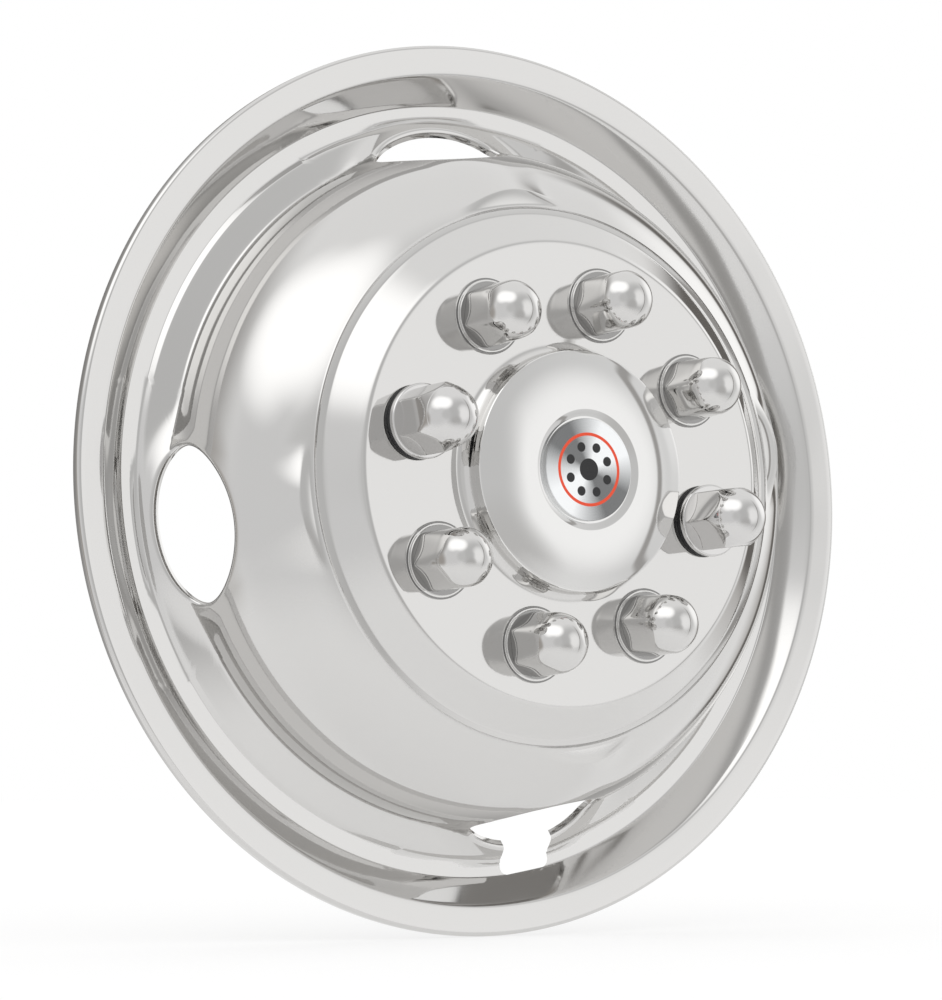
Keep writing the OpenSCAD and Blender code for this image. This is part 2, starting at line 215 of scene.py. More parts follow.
class WheelColours(bpy.types.PropertyGroup):
    steel: bpy.props.FloatVectorProperty(
        name="Steel", description="Colour of the polished stainless sheet",
        default=(0.66, 0.653, 0.642), subtype="COLOR", size=3)
    hub: bpy.props.FloatVectorProperty(
        name="Hub steel", description="Colour of the brighter polished hub cover",
        default=(0.76, 0.755, 0.745), subtype="COLOR", size=3)
    nut: bpy.props.FloatVectorProperty(
        name="Nut chrome", description="Colour of the lock nuts' chrome",
        default=(0.66, 0.653, 0.645), subtype="COLOR", size=3)
    badge: bpy.props.FloatVectorProperty(
        name="Badge", description="Colour of the brushed badge",
        default=(0.63, 0.64, 0.645), subtype="COLOR", size=3)
    rubber: bpy.props.FloatVectorProperty(
        name="Seal", description="Colour of the black seals",
        default=(0.012, 0.012, 0.013), subtype="COLOR", size=3)


# Shader nodes


class Value:
    """A shader socket that takes part in Python arithmetic."""

    def __init__(self, tree, socket):
        self.tree = tree
        self.socket = socket

    def _maths(self, operation, *values):
        return self.tree.node("ShaderNodeMath", {"operation": operation}, dict(enumerate(values)))

    def __add__(self, other):
        return self._maths("ADD", self, other)

    __radd__ = __add__

    def __sub__(self, other):
        return self._maths("SUBTRACT", self, other)

    def __rsub__(self, other):
        return self._maths("SUBTRACT", other, self)

    def __mul__(self, other):
        return self._maths("MULTIPLY", self, other)

    __rmul__ = __mul__

    def __abs__(self):
        return self._maths("ABSOLUTE", self)


class Finish:
    """Writes the nodes of one material or of the world."""

    def __init__(self, owner):
        owner.use_nodes = True
        self.tree = owner.node_tree
        self.tree.nodes.clear()

    def node(self, kind, settings=None, sockets=None, output=0):
        made = self.tree.nodes.new(kind)
        for name, value in (settings or {}).items():
            if name == "stops":
                ramp = made.color_ramp
                while len(ramp.elements) < len(value):
                    ramp.elements.new(0.5)
                for element, (place, colour) in zip(ramp.elements, value):
                    element.position = place
                    element.color = (*colour, 1)
            else:
                setattr(made, name, value)
        for name, value in (sockets or {}).items():
            if isinstance(value, Value):
                self.tree.links.new(value.socket, made.inputs[name])
            else:
                made.inputs[name].default_value = value
        return Value(self, made.outputs[output]) if made.outputs else None

    def noise(self, place, scale, detail):
        return self.node("ShaderNodeTexNoise", {"noise_dimensions": "3D"},
                         {"Vector": place, "Scale": scale, "Detail": detail})

    def vector(self, operation, *values):
        """The number that an operation on vectors gives."""
        return self.node("ShaderNodeVectorMath", {"operation": operation}, dict(enumerate(values)), output=1)

    def fade(self, value, start, end, course="LINEAR"):
        """Runs from 0 where the value is at the start to 1 where it is at the end."""
        return self.node("ShaderNodeMapRange", {"interpolation_type": course}, {
            "Value": value, "From Min": start, "From Max": end, "To Min": 0.0, "To Max": 1.0})

    def mix(self, share, first, second):
        """The first colour where the share is 0, and the second where it is 1."""
        return self.node("ShaderNodeMix", {"data_type": "RGBA"}, {0: share, 6: first, 7: second}, output=2)

    def surface(self, shader):
        self.node("ShaderNodeOutputMaterial", {}, {"Surface": shader})


def material(name):
    made = bpy.data.materials.new(name)
    return made, Finish(made)


def added(values):
    total = values[0]
    for value in values[1:]:
        total = total + value
    return total


# Profiles and grids


def in_metres(corners):
    """Corners of a profile that is written in mm."""
    return [(r * MM, h * MM, bend * MM) for r, h, bend in corners]


def on_wheel(r, h, angle):
    """Row-frame places of radius r, height h and an angle in degrees, anticlockwise from +X as seen
    from the front."""
    a = np.radians(angle)
    return np.stack([r * np.cos(a), RIM_EDGE_Y - h + 0 * a, r * np.sin(a)], axis=-1)


def circle(r, theta, h):
    """A closed row of points round a piece's own axis."""
    return np.stack([r * np.cos(theta), r * np.sin(theta), h + 0 * theta], -1)


def bent_path(corners, spacing):
    """Points and left-hand normals along a path of (r, h, bend radius), with true bends."""
    points, normals = [], []
    corners = [np.array(c, float) for c in corners]

    def run(a, b, side):
        steps = max(1, int(np.linalg.norm(b - a) / spacing))
        for k in range(steps + 1):
            points.append(a + (b - a) * k / steps)
            normals.append(side)

    start = corners[0][:2]
    for k in range(1, len(corners) - 1):
        here, bend = corners[k][:2], corners[k][2]
        u = here - corners[k - 1][:2]
        v = corners[k + 1][:2] - here
        u, v = u / np.linalg.norm(u), v / np.linalg.norm(v)
        turn = math.acos(max(-1, min(1, u @ v)))
        cut = bend * math.tan(turn / 2)
        left = 1 if u[0] * v[1] - u[1] * v[0] > 0 else -1
        side = np.array([-u[1], u[0]])
        run(start, here - u * cut, side)
        centre = here - u * cut + left * side * bend
        steps = max(3, int(math.degrees(turn) / 9), int(bend * turn / spacing))
        for m in range(1, steps):
            a = left * turn * m / steps
            turned_side = np.array([math.cos(a) * side[0] - math.sin(a) * side[1],
                                    math.sin(a) * side[0] + math.cos(a) * side[1]])
            points.append(centre - left * turned_side * bend)
            normals.append(turned_side)
        start = here + v * cut
    last = corners[-1][:2]
    along = (last - start) / np.linalg.norm(last - start)
    run(start, last, np.array([-along[1], along[0]]))
    return np.array(points), np.array(normals)


def round_grid(corners, spacing=1.2 * MM, columns=96):
    """Grid of a piece turned round its own axis."""
    path, _ = bent_path(corners, spacing)
    theta = np.radians(np.arange(columns) * 360 / columns)
    return np.stack([circle(r, theta, h) for r, h in path])


def grid_faces(rows, columns):
    """Corner indices of the quads of a grid of points whose rows are closed, row by row."""
    r, c = np.meshgrid(np.arange(rows - 1), np.arange(columns), indexing="ij")
    n = (c + 1) % columns
    corners = [r * columns + c, r * columns + n, (r + 1) * columns + n, (r + 1) * columns + c]
    return np.stack(corners, -1).reshape(-1, 4)


def shade_smooth(mesh):
    mesh.polygons.foreach_set("use_smooth", [True] * len(mesh.polygons))


def add_piece(name, places, faces, body, nodes, finish, upright=Matrix.Identity(4)):
    """A smooth-shaded mesh that rides on a body and stands for the CAD nodes."""
    mesh = bpy.data.meshes.new(name)
    mesh.from_pydata(places.tolist(), [], faces.tolist())
    mesh.validate()
    made = bpy.data.objects.new(name, mesh)
    bpy.context.scene.collection.objects.link(made)
    mesh.materials.append(finish)
    tidy = bmesh.new()
    tidy.from_mesh(mesh)
    bmesh.ops.remove_doubles(tidy, verts=tidy.verts, dist=1e-6)
    bmesh.ops.recalc_face_normals(tidy, faces=tidy.faces)
    tidy.to_mesh(mesh)
    tidy.free()
    shade_smooth(mesh)
    made.matrix_world = upright
    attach(made, body)
    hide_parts(*nodes)
    return made


# The liner


def liner_path(sizes):
    """The liner's profile along the middle of its sheet, from the folded edge to the neck."""
    edge_r = RIM_R - SHEET / 2
    lip_r = edge_r - sizes.lip_w
    wall_r = lip_r - sizes.wall_w
    ledge_r = wall_r - WELL_FLOOR_W
    well_h = -sizes.well_depth
    step_h = well_h + WELL_STEP_H
    face_h = FACE_H - SHEET / 2
    ring_h = face_h - FACE_RISE
    corner_h = ring_h - (sizes.dome_r - sizes.ring_r) * math.tan(DOME_SLOPE)
    return [
        (edge_r, -EDGE_FOLD, 0),
        (edge_r, -SHEET / 2, 1.6 * MM),
        (lip_r, -LIP_DROP - SHEET / 2, 2.4 * MM),
        (wall_r, well_h, 2.4 * MM),
        (ledge_r, well_h, 1.2 * MM),
        (ledge_r - WELL_STEP_W, step_h, 1.2 * MM),
        (sizes.dome_r, step_h + DOME_FOOT_H, 2.6 * MM),
        (sizes.dome_r, corner_h, sizes.dome_bend),
        (sizes.ring_r + 3 * MM, ring_h - 1.5 * MM, 3 * MM),
        (sizes.ring_r - 0.4 * MM, ring_h - 0.9 * MM, 3 * MM),
        (sizes.face_r, face_h, 4 * MM),
        (NECK_R, face_h, 6.4 * MM),
        (NECK_R, NECK_H, 0),
    ]


def distance_to_path(r, h, path):
    """Distance of each (r, h) in front of a path, negative behind it."""
    no_length, tie = 1e-16, 1e-9
    best = np.full(r.shape, np.inf)
    sign = np.ones(r.shape)
    for a, b in zip(path[:-1], path[1:]):
        along = b - a
        size = along @ along
        if size < no_length:
            continue
        t = np.clip(((r - a[0]) * along[0] + (h - a[1]) * along[1]) / size, 0, 1)
        dr, dh = r - a[0] - t * along[0], h - a[1] - t * along[1]
        gap = np.hypot(dr, dh)
        nearer = gap < best - tie
        best = np.where(nearer, gap, best)
        sign = np.where(nearer, np.where(along[0] * dh - along[1] * dr > 0, -1, 1), sign)
    return best * sign


def softly_nearest(a, b, width):
    """The smaller of two distances, running into each other over a width."""
    mix = np.clip(width - np.abs(a - b), 0, None) / width
    return np.minimum(a, b) - mix * mix * width / 4


class HandHole:
    """The raised pad, the egg-shaped opening and its turned-in edge, in the hole's own frame.

    u runs round the wheel, v up the dome's slope and n out of the sheet.
    """

    R, H, TILT = 164.6 * MM, 8.8 * MM, math.radians(55)
    EGG = 0.2
    PAD_R, PAD_FOOT, PAD_TURN = 179.2 * MM, 69 * MM, math.radians(58)
    PATH_LOW_R, PATH_HIGH_R = 118 * MM, 196 * MM  # the part of the profile that a pad comes near

    def __init__(self, sizes, path):
        self.half_w, self.half_h = sizes.hand_w / 2, sizes.hand_h / 2
        self.soft = sizes.pad_soft
        self.fold, self.bend = sizes.hand_fold, sizes.hand_soft
        self.path = path[(path[:, 0] > self.PATH_LOW_R) & (path[:, 0] < self.PATH_HIGH_R)]
        self.foot_h = -sizes.well_depth + WELL_STEP_H + SHEET / 2
        self.u = np.array([0, 1, 0])
        self.v = np.array([-math.cos(self.TILT), 0, math.sin(self.TILT)])
        self.n = np.array([math.sin(self.TILT), 0, math.cos(self.TILT)])
        self.middle = np.array([self.R, 0, self.H])

    def distance(self, p):
        """Height of points (x out, y round, z forward of the hole's own meridian) over the soft surface."""
        wheel = distance_to_path(np.hypot(p[..., 0], p[..., 1]), p[..., 2], self.path)
        cone_r = self.PAD_FOOT - (p[..., 2] - self.foot_h) / math.tan(self.PAD_TURN)
        from_axis = np.hypot(p[..., 0] - self.PAD_R + self.PAD_FOOT, p[..., 1])
        pad = (from_axis - cone_r) * math.sin(self.PAD_TURN)
        return softly_nearest(wheel, pad, self.soft)

    def on_surface(self, p, way):
        """Points moved along a direction onto the soft surface, by what they are off it at each step."""
        for _ in range(10):
            p = p - self.distance(p)[..., None] * way
        return p

    def outline(self, at, grow):
        u = (self.half_w + grow) * np.cos(at) * (1 - self.EGG * np.sin(at))
        return u, (self.half_h + grow) * np.sin(at)

    def patch(self, border, rows):
        """Rows of points from a closed border on the surface to the end of the turned-in edge."""
        flat = border - self.middle
        u, v = flat @ self.u, flat @ self.v
        at = np.arctan2(v / self.half_h, u / self.half_w)
        for _ in range(8):
            at = np.arctan2(v / self.half_h, u / (self.half_w * (1 - self.EGG * np.sin(at))))
        ou, ov = self.outline(at, self.bend)
        made = [border]
        for k in range(1, rows + 1):
            t = k / rows
            t = t * (1.35 - 0.35 * t)  # closer rows towards the opening
            made.append(self._lift(u + (ou - u) * t, v + (ov - v) * t, 0))
        for turn in np.radians([15, 30, 45, 60, 75, 90]):
            gu, gv = self.outline(at, self.bend * (1 - math.sin(turn)))
            made.append(self._lift(gu, gv, self.bend * (1 - math.cos(turn))))
        gu, gv = self.outline(at, 0)
        for depth in (0.75, 1):
            made.append(self._lift(gu, gv, self.bend + (self.fold - self.bend) * depth))
        return np.stack(made)

    def _lift(self, u, v, depth):
        flat = self.middle + u[:, None] * self.u + v[:, None] * self.v
        return self.on_surface(flat, self.n) - depth * self.n


def cut_slot(made, sizes):
    """Cuts the valve slot with clean edges: two sides, an outer end and its rounded corners."""
    turn = math.radians(HAND_ANGLES[SLOT_HAND])
    out = Vector((math.cos(turn), 0, math.sin(turn)))
    side = Vector((-math.sin(turn), 0, math.cos(turn)))
    inner, end, half = 166 * MM, 189 * MM, sizes.slot_w / 2
    corner, margin = 4 * MM, 6 * MM
    planes = [(side * half, side), (side * -half, -side), (out * end, out)]
    for s in (-1, 1):
        for lean in (22.5, 45, 67.5):
            a = math.radians(lean)
            way = out * math.cos(a) + side * (s * math.sin(a))
            planes.append((out * (end - corner) + side * s * (half - corner) + way * corner, way))
    work = bmesh.new()
    work.from_mesh(made.data)

    def near(face):
        c = face.calc_center_median()
        return inner < c.dot(out) < end + margin and abs(c.dot(side)) < half + margin

    for place, way in planes:
        geometry = [f for f in work.faces if near(f)]
        edges = {e for f in geometry for e in f.edges}
        verts = {v for f in geometry for v in f.verts}
        whole = [*geometry, *edges, *verts]
        bmesh.ops.bisect_plane(work, geom=whole, plane_co=place, plane_no=way, dist=1e-7)
    gone = [f for f in work.faces
            if near(f) and all((f.calc_center_median() - place).dot(way) < 0 for place, way in planes)]
    bmesh.ops.delete(work, geom=gone, context="FACES")
    work.to_mesh(made.data)
    work.free()
    shade_smooth(made.data)


def patch_border(outer, inner, first, last):
    """Rows and columns of the grid's points round one patch, in order."""
    border = [(outer, c) for c in range(first, last)]
    border += [(r, last) for r in range(outer, inner)]
    border += [(inner, c) for c in range(last, first, -1)]
    border += [(r, first) for r in range(inner, outer, -1)]
    return border


def from_meridian(points, angle):
    """Row-frame places of points (x out, y round, z forward of the meridian at an angle in degrees)."""
    turn = math.radians(angle)
    x = points[..., 0] * math.cos(turn) - points[..., 1] * math.sin(turn)
    z = points[..., 0] * math.sin(turn) + points[..., 1] * math.cos(turn)
    return np.stack([x, RIM_EDGE_Y - points[..., 2], z], -1)


def build_liner(sizes, finish):
    middle, left = bent_path(liner_path(sizes), 1.6 * MM)
    path = middle - left * SHEET / 2
    keep = np.concatenate([[True], np.linalg.norm(np.diff(path, axis=0), axis=1) > 1e-7])
    path = path[keep]
    rows, columns = len(path), LINER_COLUMNS
    angles = np.arange(columns) * 360 / columns + 0.5
    outer = int(np.argmax(path[:, 0] < PATCH_OUTER_R))
    inner = int(np.argmax(path[:, 0] < PATCH_INNER_R))
    index = np.arange(rows * columns).reshape(rows, columns)
    open_quads = np.ones((rows - 1, columns), bool)
    places = [np.stack([on_wheel(r, h, angles) for r, h in path]).reshape(-1, 3)]
    faces = []
    count = rows * columns
    hole = HandHole(sizes, path)
    for hand in HAND_ANGLES:
        first = int(round(hand - PATCH_HALF_SPAN - angles[0]))
        last = first + 2 * PATCH_HALF_SPAN
        border = patch_border(outer, inner, first, last)
        for c in range(first, last):
            open_quads[outer:inner, c % columns] = False
        own = []
        for r, c in border:
            a = math.radians(angles[0] + c - hand)
            own.append([path[r, 0] * math.cos(a), path[r, 0] * math.sin(a), path[r, 1]])
        here = from_meridian(hole.patch(np.array(own), PATCH_ROWS), hand)[1:]
        shared = np.array([index[r, c % columns] for r, c in border])
        inside = np.arange(here.shape[0] * here.shape[1]).reshape(here.shape[:2]) + count
        full = np.vstack([shared[None], inside])
        for a, b in zip(full[:-1], full[1:]):
            faces.append(np.stack([a, np.roll(a, -1), np.roll(b, -1), b], -1))
        places.append(here.reshape(-1, 3))
        count += inside.size
    quads = grid_faces(rows, columns).reshape(rows - 1, columns, 4)[open_quads]
    made = add_piece("wheel_liner_sheet", np.vstack(places), np.vstack([quads, *faces]),
                     "simulator", ["wheel_liner"], finish)
    cut_slot(made, sizes)


# The hub cover and its badge


def build_hub(sizes, finish):
    columns = 240
    top = sizes.edge_h + sizes.crown_h
    path, _ = bent_path([
        (sizes.edge_r, sizes.edge_h - 4.2 * MM, 0),
        (sizes.edge_r, sizes.edge_h, 0.8 * MM),
        (42 * MM, sizes.edge_h + 0.77 * sizes.crown_h, 90 * MM),
        (28.2 * MM, top, 0.9 * MM),
        (24.8 * MM, top - BADGE_SEAT, 0.8 * MM),
        (0.01 * MM, top - BADGE_SEAT, 0),
    ], 1.2 * MM)
    angles = np.arange(columns) * 360 / columns
    places = np.stack([on_wheel(r, h, angles) for r, h in path])
    add_piece("hub_cover_shell", places.reshape(-1, 3), grid_faces(len(path), columns),
              "simulator", ["hub_cover"], finish)


def build_badge(sizes, finish):
    """The badge's own Z is the wheel's axis, so that its brushing runs in circles."""
    top = sizes.edge_h + sizes.crown_h
    grid = round_grid([
        (sizes.badge_r, -BADGE_SEAT, 0),
        (sizes.badge_r, BADGE_FACE, 0.35 * MM),
        (0.01 * MM, BADGE_FACE, 0),
    ], 1 * MM, 180)
    upright = Matrix.Translation((0, RIM_EDGE_Y - top, 0)) @ Matrix.Rotation(math.pi / 2, 4, "X")
    add_piece("badge_disc", grid.reshape(-1, 3), grid_faces(*grid.shape[:2]),
              "simulator", ["badge"], finish, upright)


# The lug covers and the lock nuts


def lug_centre(lug):
    turn = math.radians(FIRST_LUG + LUG_STEP * lug)
    return STUD_R * math.cos(turn), STUD_R * math.sin(turn)


def flatted_body(flats, turn, low, centre, outer, wall, sharp):
    """Grid of a hexagonal body that ends in a dome. outer gives the dome's reach at each elevation
    above its centre, and wall the round body's radius at each height below it."""
    theta = np.radians(turn + np.arange(FLATTED_COLUMNS) * 360 / FLATTED_COLUMNS)
    planes = np.radians(turn + 60 * np.arange(6))
    lean = np.clip(np.cos(theta[:, None] - planes), 0, None)

    def soft_reach(cos_elevation, reach):
        terms = (lean * cos_elevation * reach / (flats / 2)) ** sharp
        return reach / (terms.sum(axis=1) + 1) ** (1 / sharp)

    grid = []
    for h in np.linspace(low, centre, FLATTED_WALL_ROWS)[:-1]:
        grid.append(circle(soft_reach(1, wall(h)), theta, h))
    for e in np.radians(np.linspace(0, 90, FLATTED_DOME_ROWS)):
        d = soft_reach(math.cos(e), outer(e))
        grid.append(circle(d * math.cos(e), theta, centre + d * math.sin(e)))
    return np.stack(grid)


def add_at_lug(name, grids, lug, body, nodes, finish):
    """One piece of several grids that stand on the lug face, round a lug's axis."""
    x, z = lug_centre(lug)
    places, faces, count = [], [], 0
    for grid in grids:
        flat = grid.reshape(-1, 3)
        places.append(np.stack([x + flat[:, 0], RIM_EDGE_Y - FACE_H - flat[:, 2], z + flat[:, 1]], -1))
        faces.append(grid_faces(*grid.shape[:2]) + count)
        count += len(flat)
    add_piece(name, np.vstack(places), np.vstack(faces), body, nodes, finish)


def build_covers(sizes, finish):
    centre, dome, foot = 19.1 * MM, 14.2 * MM, 15.7 * MM
    sharp = 28
    rings = in_metres([
        (12.4, -6.5, 0), (13.1, -6.5, 0.2), (13.1, 0, 0.2), (17.8, 0, 0.1), (17.8, 0.7, 0.3),
        (16.95, 0.7, 0.1), (16.95, 1.3, 0.3), (16.1, 1.3, 0.1), (16.1, 1.95, 0.35), (13.2, 1.95, 0)])
    for k, (lug, turn) in enumerate(zip(COVER_LUGS, COVER_TURNS), 1):
        body = flatted_body(sizes.cover_flats, turn, 1 * MM, centre, lambda e: dome,
                            lambda h: foot + (dome - foot) * h / centre, sharp)
        add_at_lug(f"lug_cover_{k}_shell", [body, round_grid(rings)],
                   lug, "simulator", [f"lug_cover_{k}"], finish)


def build_lock_nuts(sizes, finish):
    centre, dome = 23.1 * MM, 14.5 * MM
    bevel_foot, bevel_lean = 15.65 * MM, 0.394
    bevel_end = math.atan2(5.3, 13.5)
    sharp = 80
    # the round body stands just clear of the hexagon's corners, so that only the flats shape it
    corner = sizes.nut_flats / 2 / math.cos(math.radians(30)) + 0.05 * MM

    def outer(e):
        return bevel_foot / (math.cos(e) + bevel_lean * math.sin(e)) if e < bevel_end else dome

    collar = in_metres([(17.1, 2.7, 0), (17.3, 2.7, 0.1), (17.2, 5.35, 1), (13, 5.35, 0)])
    neck = in_metres([(11.8, 3.2, 0), (11.8, -7, 0.4), (6.6, -7, 0.5), (6.6, 25, 0.2), (0.01, 29, 0)])
    for k, (lug, turn) in enumerate(zip(NUT_LUGS, NUT_TURNS), 1):
        body = flatted_body(sizes.nut_flats, turn, 5.3 * MM, centre, outer, lambda h: corner, sharp)
        add_at_lug(f"lock_nut_{k}_body", [body, round_grid(collar), round_grid(neck)],
                   lug, f"lock_nut_{k}", [f"lock_nut_{k}"], finish)


# Finishes


def polished_metal(name, colour, roughness, waviness, shaded_creases=()):
    """Mirror-polished metal: faint cloudy variation of its gloss, and a slow waviness of the sheet.
    Its last argument gives the heights over the lug face where dark lines of painted shade sit in the pressed
    rings' creases."""
    made, finish = material(name)
    place = finish.node("ShaderNodeTexCoord", output=OBJECT)
    cloud = finish.noise(place, 35.0, 4.0)
    streak = finish.noise(place, 260.0, 3.0)
    wave = finish.noise(place, 16.0, 1.0)
    bump = finish.node("ShaderNodeBump", {}, {"Height": wave, "Strength": 1.0, "Distance": waviness})
    rough = roughness * 0.6 + cloud * (roughness * 0.6) + streak * (roughness * 0.2)
    tone = (*colour, 1)
    if shaded_creases:
        along = finish.node("ShaderNodeSeparateXYZ", {}, {"Vector": place}, output=1)
        # painted shade: dark lines at the given heights, in the pressed rings' creases, a third as bright as
        # the metal
        crease_shade = added([finish.fade(abs(along - (RIM_EDGE_Y - FACE_H - h)), 0.14 * MM, 0.03 * MM)
                      for h in shaded_creases])
        tone = finish.mix(crease_shade, tone, (*(c * 0.35 for c in colour), 1))
    finish.surface(finish.node("ShaderNodeBsdfPrincipled", {}, {
        "Base Color": tone, "Metallic": 1.0, "Roughness": rough, "Normal": bump}))
    return made


def brushed_badge_painted_sheen(name, colour):
    """Spun-brushed disc: fine circles in the gloss, a painted highlight and painted shade in pale and dark
    wedges that fan out from the middle in the base colour, and a plain printed emblem of black dots round a
    black centre, inside an orange-red ring."""
    made, finish = material(name)
    place = finish.node("ShaderNodeTexCoord", output=OBJECT)
    radius = finish.vector("LENGTH", place)
    brushing = finish.node("ShaderNodeTexNoise", {"noise_dimensions": "1D"},
                           {"W": radius * 9000.0, "Scale": 1.0, "Detail": 2.0})
    fan = finish.node("ShaderNodeTexGradient", {"gradient_type": "RADIAL"}, {"Vector": place}, output=1)
    # painted highlight and painted shade: pale and dark wedges by the angle round the middle, painted into
    # the base colour in place of the spun metal's reflections
    dark, pale = tuple(c * 0.3 for c in colour), tuple(min(1, c * 1.4) for c in colour)
    painted_sheen = finish.node("ShaderNodeValToRGB", {"stops": [
        (0.0, colour), (0.08, pale), (0.18, pale), (0.32, dark), (0.43, dark), (0.56, pale), (0.7, pale),
        (0.83, dark), (0.92, dark), (1.0, colour)]}, {"Fac": fan})
    turns = [math.radians(360 / DOTS * (k + 0.5)) for k in range(DOTS)]
    spots = [(DOT_RING_R * math.cos(a), DOT_RING_R * math.sin(a), DOT_R) for a in turns]
    spots.append((0, 0, MIDDLE_R))
    ink = added([finish.fade(finish.vector("DISTANCE", place, (x, y, BADGE_FACE)), size, size - PRINT_EDGE)
                 for x, y, size in spots])
    band = finish.fade(abs(radius - BAND_R), BAND_HALF_W, BAND_SOLID)
    face = finish.mix(ink, finish.mix(band, painted_sheen, BAND_RED), INK)
    finish.surface(finish.node("ShaderNodeBsdfPrincipled", {}, {
        "Base Color": face, "Metallic": 1.0 - 0.85 * ink - 0.85 * band, "Anisotropic": 0.8,
        "Roughness": 0.22 + brushing * 0.12}))
    return made


def seal_rubber(name, colour):
    made, finish = material(name)
    grain = finish.noise(finish.node("ShaderNodeTexCoord", output=OBJECT), 900.0, 3.0)
    bump = finish.node("ShaderNodeBump", {}, {"Height": grain, "Strength": 0.3, "Distance": 0.05 * MM})
    finish.surface(finish.node("ShaderNodeBsdfPrincipled", {}, {
        "Base Color": (*colour, 1), "Roughness": 0.45 + grain * 0.25, "Normal": bump}))
    return made


def spring_steel(name):
    made, finish = material(name)
    grain = finish.noise(finish.node("ShaderNodeTexCoord", output=OBJECT), 400.0, 3.0)
    finish.surface(finish.node("ShaderNodeBsdfPrincipled", {}, {
        "Base Color": (0.42, 0.42, 0.43, 1), "Metallic": 1.0, "Roughness": 0.3 + grain * 0.2}))
    return made


# The studio and the camera


def direction(azimuth, elevation):
    """Unit vector from the wheel, with azimuth 0 to the front and 90 to the right."""
    a, e = math.radians(azimuth), math.radians(elevation)
    return Vector((math.sin(a) * math.cos(e), -math.cos(a) * math.cos(e), math.sin(e)))


def studio_world():
    """A white studio. The metal sees it with soft grey fields where a room has its darker sides."""
    world = bpy.data.worlds.new("studio")
    bpy.context.scene.world = world
    finish = Finish(world)
    way = finish.node("ShaderNodeTexCoord", output=GENERATED)
    shade = (*STUDIO_BASE, 1)
    for azimuth, elevation, inner, outer, colour in STUDIO_FIELDS:
        facing = finish.vector("DOT_PRODUCT", way, tuple(direction(azimuth, elevation)))
        mask = finish.fade(facing, math.cos(math.radians(outer)), math.cos(math.radians(inner)), "SMOOTHSTEP")
        shade = finish.mix(mask, shade, (*colour, 1))
    for azimuth, half_width, colour in STUDIO_STRIPS:
        beside = finish.vector("DOT_PRODUCT", way, tuple(direction(azimuth + 90, 0)))
        facing = finish.vector("DOT_PRODUCT", way, tuple(direction(azimuth, 0)))
        edge = math.sin(math.radians(half_width))
        narrow = finish.fade(abs(beside), edge, edge * STRIP_SOLID, "SMOOTHSTEP")
        upright = finish.fade(facing, *STRIP_REACH, "SMOOTHSTEP")
        shade = finish.mix(narrow * upright, shade, (*colour, 1))
    seen = finish.node("ShaderNodeLightPath", output=CAMERA_RAY)
    studio = finish.node("ShaderNodeBackground", {}, {"Color": shade, "Strength": 1.0})
    white = finish.node("ShaderNodeBackground", {}, {"Color": (1, 1, 1, 1), "Strength": 1.0})
    mixed = finish.node("ShaderNodeMixShader", {}, {0: seen, 1: studio, 2: white})
    finish.node("ShaderNodeOutputWorld", {}, {"Surface": mixed})


def studio_floor():
    """A plain pale floor under the rim. Part of its light is its own, so that the shadow stays faint,
    and in the metal it fades into the soft studio around it."""
    made, finish = material("pale_floor")
    place = finish.node("ShaderNodeTexCoord", output=OBJECT)
    grain = finish.noise(place, 3.0, 2.0)
    worn = FLOOR_TONE * FLOOR_WORN
    tone = finish.mix(grain, (FLOOR_TONE, FLOOR_TONE, FLOOR_TONE, 1), (worn, worn, worn, 1))
    lit = finish.node("ShaderNodeBsdfPrincipled", {}, {
        "Base Color": tone, "Roughness": 0.9, "Specular IOR Level": 0.0,
        "Emission Color": (1, 1, 1, 1), "Emission Strength": FLOOR_OWN_LIGHT})
    far = finish.fade(finish.vector("LENGTH", place), *FLOOR_FADE, "SMOOTHSTEP")
    mirrored = finish.node("ShaderNodeLightPath", output=GLOSSY_RAY)
    clear = finish.node("ShaderNodeBsdfTransparent")
    finish.surface(finish.node("ShaderNodeMixShader", {}, {0: far * mirrored, 1: lit, 2: clear}))
    reach = FLOOR_REACH
    corners = [(-reach, -reach, 0), (reach, -reach, 0), (reach, reach, 0), (-reach, reach, 0)]
    mesh = bpy.data.meshes.new("studio_floor")
    mesh.from_pydata(corners, [], [(0, 1, 2, 3)])
    mesh.materials.append(made)
    floor = bpy.data.objects.new("studio_floor", mesh)
    floor.location = (0, 0, LINER_LOW[2] - FLOOR_DROP)
    bpy.context.scene.collection.objects.link(floor)


def photo_camera():
    back = direction(CAMERA_AZ, CAMERA_EL)
    right = direction(CAMERA_AZ + 90, 0)
    up = back.cross(right)
    data = bpy.data.cameras.new("photo_camera")
    data.lens = LENS_PX * SENSOR_MM / PHOTO_H
    data.clip_start, data.clip_end = CAMERA_CLIP
    made = bpy.data.objects.new("photo_camera", data)
    bpy.context.scene.collection.objects.link(made)
    turn = Matrix((right, up, back)).transposed().to_4x4()
    aim = Vector((0, RIM_EDGE_Y, 0))
    place = aim + back * CAMERA_REACH + right * CAMERA_SIDE + up * CAMERA_UP
    made.matrix_world = Matrix.Translation(place) @ turn
    bpy.context.scene.camera = made


# Operators and panel


class WHEEL_OT_liner(bpy.types.Operator):
    """Builds the pressed liner with its hand holes and valve slot"""

    bl_idname = "wheel.liner"
    bl_label = "Wheel liner"

    def execute(self, context):
        colours = context.scene.wheel_colours
        build_liner(context.scene.wheel_liner, polished_metal("polished_liner", colours.steel, 0.06, 0.0006))
        return {"FINISHED"}


class WHEEL_OT_hub(bpy.types.Operator):
    """Builds the hub cover and its badge"""

    bl_idname = "wheel.hub"
    bl_label = "Hub cover and badge"

    def execute(self, context):
        colours, sizes = context.scene.wheel_colours, context.scene.wheel_hub
        build_hub(sizes, polished_metal("polished_hub", colours.hub, 0.05, 0.0001))
        build_badge(sizes, brushed_badge_painted_sheen("brushed_badge_painted_sheen", colours.badge))
        return {"FINISHED"}


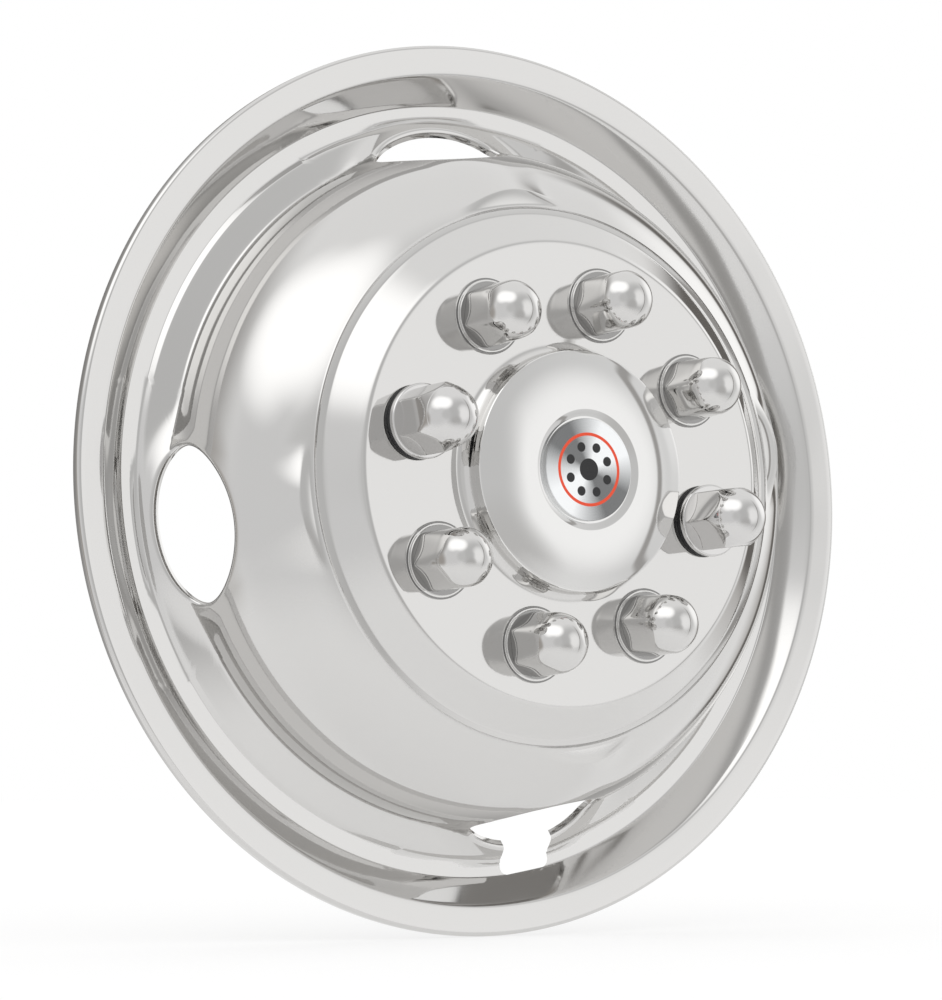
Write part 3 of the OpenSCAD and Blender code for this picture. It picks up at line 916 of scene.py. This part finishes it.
class WHEEL_OT_lugs(bpy.types.Operator):
    """Builds the fixed lug covers and the lock nuts"""

    bl_idname = "wheel.lugs"
    bl_label = "Lug covers and lock nuts"

    def execute(self, context):
        colours, sizes = context.scene.wheel_colours, context.scene.wheel_nuts
        # heights of the painted shade lines in the covers' pressed creases
        shaded_creases = (0.7 * MM, 2.0 * MM)
        build_covers(sizes, polished_metal("polished_covers", colours.steel, 0.05, 0.00005, shaded_creases))
        build_lock_nuts(sizes, polished_metal("bright_chrome", colours.nut, 0.05, 0.00004))
        return {"FINISHED"}


class WHEEL_OT_fittings(bpy.types.Operator):
    """Gives the seals, the toothed rings and the snap rings their finish"""

    bl_idname = "wheel.fittings"
    bl_label = "Seals and rings"

    def execute(self, context):
        rubber = seal_rubber("seal_rubber_finish", context.scene.wheel_colours.rubber)
        steel = spring_steel("spring_steel_finish")
        for name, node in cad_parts.items():
            if name.startswith("nut_seal"):
                node.data.materials[0] = rubber
            elif name.startswith(("cover_ring", "nut_clip")):
                node.data.materials[0] = steel
        return {"FINISHED"}


class WHEEL_OT_studio(bpy.types.Operator):
    """Sets up the white studio, its floor and the camera"""

    bl_idname = "wheel.studio"
    bl_label = "Studio and camera"

    def execute(self, context):
        context.scene.view_settings.view_transform = "Standard"
        studio_world()
        studio_floor()
        photo_camera()
        return {"FINISHED"}


class WHEEL_PT_builder(bpy.types.Panel):
    """Lists the wheel simulator's builders"""

    bl_label = "Truck wheel simulator"
    bl_idname = "WHEEL_PT_builder"
    bl_space_type = "VIEW_3D"
    bl_region_type = "UI"
    bl_category = "Wheel"

    def draw(self, context):
        for operator in OPERATORS:
            self.layout.operator(operator.bl_idname)
        for group_name in SIZE_GROUPS:
            group = getattr(context.scene, group_name)
            box = self.layout.box()
            for name in group.__annotations__:
                box.prop(group, name)


OPERATORS = (WHEEL_OT_liner, WHEEL_OT_hub, WHEEL_OT_lugs, WHEEL_OT_fittings, WHEEL_OT_studio)
SIZE_GROUPS = {"wheel_liner": WheelLinerSizes, "wheel_hub": HubSizes, "wheel_nuts": NutSizes,
               "wheel_colours": WheelColours}


def register():
    for cls in (*SIZE_GROUPS.values(), *OPERATORS, WHEEL_PT_builder):
        bpy.utils.register_class(cls)
    for name, cls in SIZE_GROUPS.items():
        setattr(bpy.types.Scene, name, bpy.props.PointerProperty(type=cls))


def unregister():
    for name in SIZE_GROUPS:
        delattr(bpy.types.Scene, name)
    for cls in (WHEEL_PT_builder, *reversed(OPERATORS), *reversed(list(SIZE_GROUPS.values()))):
        bpy.utils.unregister_class(cls)


def main():
    register()
    for operator in OPERATORS:
        group, name = operator.bl_idname.split(".")
        getattr(getattr(bpy.ops, group), name)()


if __name__ == "__main__":
    main()
